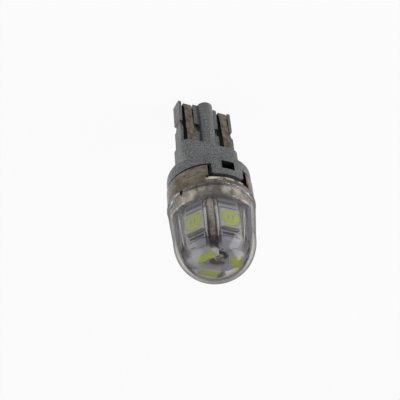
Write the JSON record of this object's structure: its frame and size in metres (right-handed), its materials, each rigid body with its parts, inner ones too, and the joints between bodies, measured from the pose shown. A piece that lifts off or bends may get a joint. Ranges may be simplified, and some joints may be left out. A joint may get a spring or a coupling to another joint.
{
  "type": "wedge base LED bulb",
  "caption": "Small LED bulb: clear ribbed dome over a six-sided LED module, metal collar, silver-painted housing with snap tabs, and a wedge base with folded contact strips.",
  "frame": {"origin": "middle of the wedge's tip, at the level of the ends of its column and ears, which the bulb stands on", "axes": "+Z along the bulb's axis from the wedge's tip to the end of the dome, +X across the wedge's width, -Y out of the pictured face"},
  "size_m": [0.0134, 0.0134, 0.0325],
  "materials": {
    "silver_paint": "silver metallic paint on moulded plastic",
    "contact_plating": "tin plated strip",
    "heat_sink_metal": "turned, pale champagne tint",
    "clear_plastic": "clear moulding",
    "board_mask": "white solder mask",
    "led_package": "white moulding",
    "phosphor": "yellow-green phosphor gel",
    "copper": "bare wire",
    "solder": "bright solder",
    "driver_mask": "green solder mask",
    "part_moulding": "black moulding"
  },
  "bodies": {
    "root": {"base_housing": "silver_paint", "contact_strip_left": "contact_plating", "contact_strip_right": "contact_plating", "heat_sink": "heat_sink_metal", "dome_cap": "clear_plastic", "side_board_1": "board_mask", "side_board_2": "board_mask", "side_board_3": "board_mask", "side_board_4": "board_mask", "side_board_5": "board_mask", "side_board_6": "board_mask", "end_board": "board_mask", "side_led_1": "led_package", "side_led_2": "led_package", "side_led_3": "led_package", "side_led_4": "led_package", "side_led_5": "led_package", "side_led_6": "led_package", "end_led_1": "led_package", "end_led_2": "led_package", "end_led_3": "led_package", "side_phosphor_1": "phosphor", "side_phosphor_2": "phosphor", "side_phosphor_3": "phosphor", "side_phosphor_4": "phosphor", "side_phosphor_5": "phosphor", "side_phosphor_6": "phosphor", "end_phosphor_1": "phosphor", "end_phosphor_2": "phosphor", "end_phosphor_3": "phosphor", "feed_pin": "copper", "solder_joint": "solder", "driver_board": "driver_mask", "rectifier": "part_moulding", "driver_chip": "part_moulding", "resistor_left": "part_moulding", "resistor_right": "part_moulding"}
  },
  "joints": []
}
